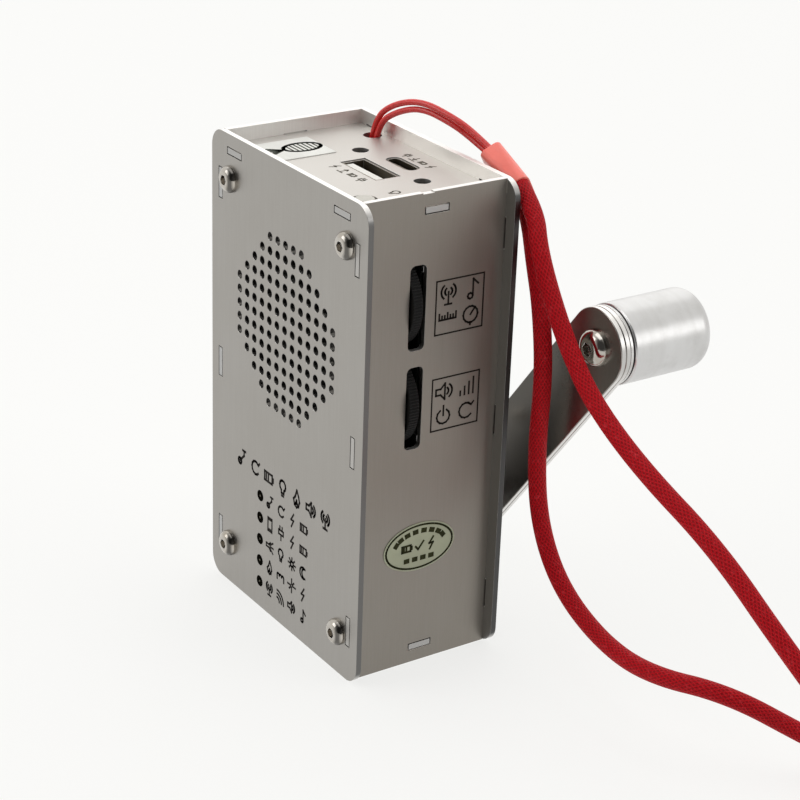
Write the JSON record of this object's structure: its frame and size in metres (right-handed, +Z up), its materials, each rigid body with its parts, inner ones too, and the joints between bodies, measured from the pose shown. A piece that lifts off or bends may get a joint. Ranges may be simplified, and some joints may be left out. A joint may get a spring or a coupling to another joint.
{
  "type": "hand crank generator",
  "caption": "Pocket hand crank generator in a tabbed steel case, with speaker grille, thumbwheels, charging sockets, lamp holes, wrist strap and a crank with a spinning aluminium grip.",
  "frame": {"origin": "On the standing plane, under the middle of the case; the case stands on the bottom edges of its four walls.", "axes": "+Z up; -Y out of the front plate with the speaker grille; +Y out of the rear plate towards the crank; +X out of the wall with the thumbwheels."},
  "size_m": [0.1674, 0.076, 0.1102],
  "materials": {
    "case_steel": "satin",
    "bright_steel": "polished",
    "plain_steel": "satin",
    "grip_aluminium": "satin",
    "hub_aluminium": "satin",
    "gear_nylon": "matte",
    "brass": "satin",
    "black_plastic": "matte",
    "white_plastic": "semi-gloss",
    "lamp_lens": "gloss",
    "board_green": "semi-gloss",
    "speaker_paper": "matte",
    "dark_ferrite": "matte",
    "cell_foil": "satin",
    "red_cord": "woven",
    "red_strand": "gloss",
    "salmon_sleeve": "semi-gloss",
    "green_sticker": "semi-gloss",
    "white_label": "matte"
  },
  "bodies": {
    "case": {"antenna_clips": "black_plastic", "battery_cell": "cell_foil", "board_brackets": "plain_steel", "bottom_plate": "case_steel", "button_switch": "black_plastic", "charger_board": "board_green", "charger_parts": "black_plastic", "ferrite_antenna": "dark_ferrite", "field_magnets": "dark_ferrite", "front_plate": "case_steel", "front_screws": "bright_steel", "gear_pillars": "brass", "gear_plate": "plain_steel", "gearbox_screws": "bright_steel", "generator_can": "plain_steel", "generator_cap": "black_plastic", "idler_pin": "plain_steel", "lamp_leds": "lamp_lens", "left_plate": "case_steel", "oval_sticker": "green_sticker", "radio_board": "board_green", "rear_bearing": "brass", "rear_plate": "case_steel", "rear_screws": "bright_steel", "right_plate": "case_steel", "shaft_bush": "brass", "speaker_clamps": "plain_steel", "speaker_cone": "speaker_paper", "speaker_frame": "plain_steel", "speaker_magnet": "dark_ferrite", "standoffs": "plain_steel", "strap_cord": "red_strand", "strap_sleeve": "salmon_sleeve", "top_label": "white_label", "top_plate": "case_steel", "tuning_capacitor": "white_plastic", "usb_a_shell": "bright_steel", "usb_a_tongue": "white_plastic", "usb_c_port": "plain_steel", "volume_control": "black_plastic", "wrist_loop": "red_cord"},
    "crank": {"crank_shaft": "plain_steel", "drive_gear": "plain_steel", "crank_hub": "hub_aluminium", "front_arm": "case_steel", "rear_arm": "case_steel", "hub_screw": "bright_steel", "hub_washer": "bright_steel", "handle_screw": "bright_steel", "handle_axle": "plain_steel", "grip_washer": "bright_steel"},
    "grip": {"handle_grip": "grip_aluminium", "grip_cap": "grip_aluminium"},
    "idler": {"idler_gear": "gear_nylon"},
    "rotor": {"armature": "plain_steel", "generator_shaft": "plain_steel", "generator_pinion": "brass"},
    "tuning": {"tuning_wheel": "black_plastic"},
    "volume": {"volume_wheel": "black_plastic"},
    "button": {"lamp_button": "black_plastic"}
  },
  "joints": [
    {"name": "crank_turn", "type": "hinge", "parent": "case", "child": "crank", "pos_m": [0.008, 0.024, 0.0225], "axis": [0, 1, 0], "continuous": true},
    {"name": "grip_spin", "type": "hinge", "parent": "crank", "child": "grip", "pos_m": [0.0482, 0.0374, 0.07358], "axis": [0, 1, 0], "continuous": true},
    {"name": "idler_spin", "type": "hinge", "parent": "case", "child": "idler", "pos_m": [-0.008, 0.0053, 0.03076], "axis": [0, 1, 0], "continuous": true},
    {"name": "generator_spin", "type": "hinge", "parent": "case", "child": "rotor", "pos_m": [0.00601, -0.0087, 0.03451], "axis": [0, 1, 0], "continuous": true},
    {"name": "tuning_turn", "type": "hinge", "parent": "case", "child": "tuning", "pos_m": [0.0183, -0.00375, 0.0796], "axis": [0, 1, 0], "range_deg": [-90, 90]},
    {"name": "volume_turn", "type": "hinge", "parent": "case", "child": "volume", "pos_m": [0.0183, -0.00375, 0.0583], "axis": [0, 1, 0], "range_deg": [-135, 135]},
    {"name": "button_press", "type": "slide", "parent": "case", "child": "button", "axis": [0, 0, -1], "range_m": [0, 0.0004], "stiffness_N_per_m": 2000, "springref_m": -0.0003}
  ],
  "couplings": [
    {"joint": "idler_spin", "follows": "crank_turn", "ratio": -5},
    {"joint": "generator_spin", "follows": "crank_turn", "ratio": 24}
  ]
}
